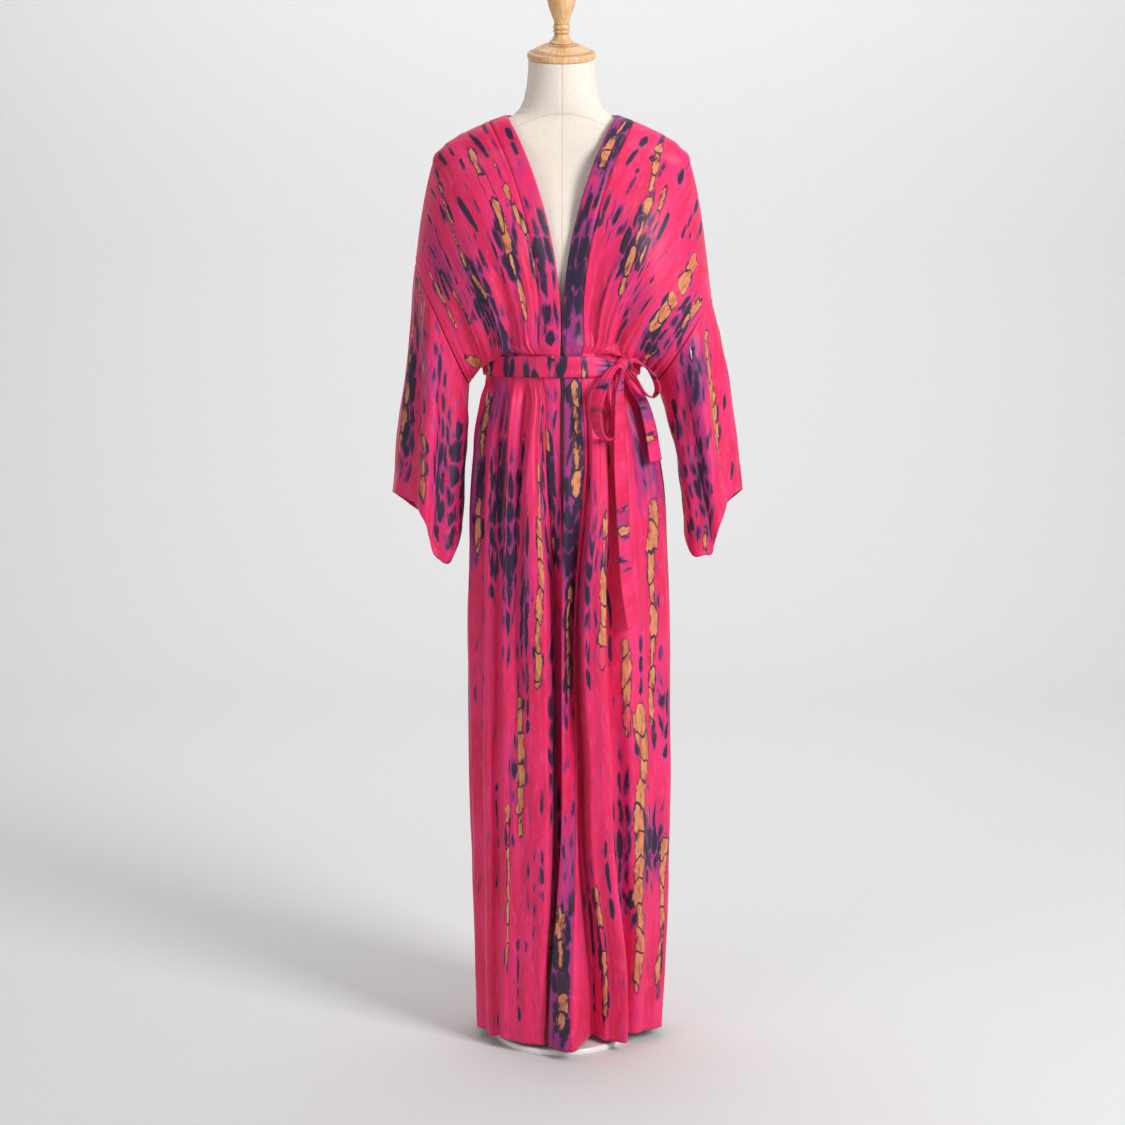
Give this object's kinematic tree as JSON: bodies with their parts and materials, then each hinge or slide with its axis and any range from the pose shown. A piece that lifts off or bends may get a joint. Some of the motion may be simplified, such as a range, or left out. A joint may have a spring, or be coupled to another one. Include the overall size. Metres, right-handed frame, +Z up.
{
  "type": "kimono robe on a dress form",
  "caption": "Long open-front kimono robe with wide hanging sleeves, tied with a bow at the waist, on a limbless linen dress form with a turned wooden neck cap.",
  "frame": {"origin": "centre of the underside of the stand's round base, on the floor", "axes": "+Z up along the pole, -Y towards the front of the robe, +X towards the wearer's left"},
  "size_m": [0.5311, 0.2631, 1.5954],
  "materials": {
    "robe_print": "dyed viscose satin, soft sheen",
    "belt_print": "dyed viscose satin, soft sheen",
    "linen": "plain-woven linen, matt",
    "turned_wood": "lightly varnished, satin",
    "white_steel": "white lacquer, satin"
  },
  "bodies": {
    "root": {"front_right": "robe_print", "front_left": "robe_print", "back_panel": "robe_print", "band_right": "robe_print", "band_left": "robe_print", "sleeve_right": "robe_print", "sleeve_left": "robe_print", "belt": "belt_print", "belt_knot": "belt_print", "bow_loop_lower": "belt_print", "bow_loop_upper": "belt_print", "belt_tail_long": "belt_print", "belt_tail_short": "belt_print", "form_torso": "linen", "neck_cap": "turned_wood", "finial": "turned_wood", "stand_pole": "white_steel", "stand_base": "white_steel"}
  },
  "joints": []
}
